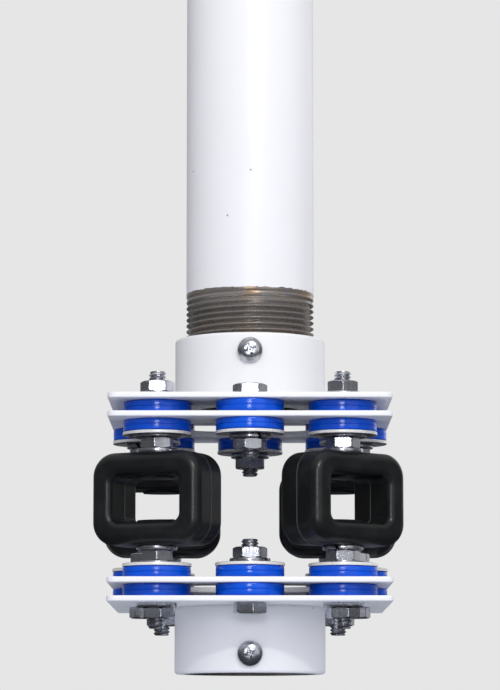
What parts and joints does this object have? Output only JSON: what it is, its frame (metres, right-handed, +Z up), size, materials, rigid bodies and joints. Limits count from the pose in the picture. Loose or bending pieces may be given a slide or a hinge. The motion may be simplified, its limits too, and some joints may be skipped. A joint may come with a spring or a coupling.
{
  "type": "anti-vibration projector mount adapter",
  "caption": "Threaded adapter that hangs a projector below a column on hollow rubber isolators, between plate pairs joined by ring-and-bushing mounts.",
  "frame": {"origin": "centre of the lower coupling's open rim, on the column's axis", "axes": "+Z up along the column; -Y is the front, where both set screws are; +X is to the right seen from the front"},
  "size_m": [0.1143, 0.1069, 0.262],
  "materials": {
    "white_powder_coat": "glossy white powder coat on steel",
    "blue_elastomer": "glossy moulded royal blue elastomer",
    "black_rubber": "semi-gloss moulded black rubber",
    "zinc_steel": "bright zinc-plated steel"
  },
  "bodies": {
    "root": {"support_column": "white_powder_coat", "lower_coupling": "white_powder_coat", "lower_outer_plate": "white_powder_coat", "lower_inner_plate": "white_powder_coat", "lower_set_screw": "zinc_steel", "upper_coupling": "white_powder_coat", "upper_outer_plate": "white_powder_coat", "upper_inner_plate": "white_powder_coat", "upper_set_screw": "zinc_steel", "lower_bushing_front": "blue_elastomer", "lower_ring_front": "blue_elastomer", "lower_bushing_front_right": "blue_elastomer", "lower_ring_front_right": "blue_elastomer", "lower_bushing_right": "blue_elastomer", "lower_ring_right": "blue_elastomer", "lower_bushing_rear_right": "blue_elastomer", "lower_ring_rear_right": "blue_elastomer", "lower_bushing_rear": "blue_elastomer", "lower_ring_rear": "blue_elastomer", "lower_bushing_rear_left": "blue_elastomer", "lower_ring_rear_left": "blue_elastomer", "lower_bushing_left": "blue_elastomer", "lower_ring_left": "blue_elastomer", "lower_bushing_front_left": "blue_elastomer", "lower_ring_front_left": "blue_elastomer", "upper_bushing_front": "blue_elastomer", "upper_ring_front": "blue_elastomer", "upper_bushing_front_right": "blue_elastomer", "upper_ring_front_right": "blue_elastomer", "upper_bushing_right": "blue_elastomer", "upper_ring_right": "blue_elastomer", "upper_bushing_rear_right": "blue_elastomer", "upper_ring_rear_right": "blue_elastomer", "upper_bushing_rear": "blue_elastomer", "upper_ring_rear": "blue_elastomer", "upper_bushing_rear_left": "blue_elastomer", "upper_ring_rear_left": "blue_elastomer", "upper_bushing_left": "blue_elastomer", "upper_ring_left": "blue_elastomer", "upper_bushing_front_left": "blue_elastomer", "upper_ring_front_left": "blue_elastomer", "isolator_front_right": "black_rubber", "isolator_rear_right": "black_rubber", "isolator_rear_left": "black_rubber", "isolator_front_left": "black_rubber", "isolator_studs": "zinc_steel", "bushing_sleeves": "zinc_steel", "fender_washers": "zinc_steel", "stud_washers": "zinc_steel", "tie_bolts": "zinc_steel", "hex_nuts": "zinc_steel", "lock_washers": "zinc_steel"}
  },
  "joints": []
}
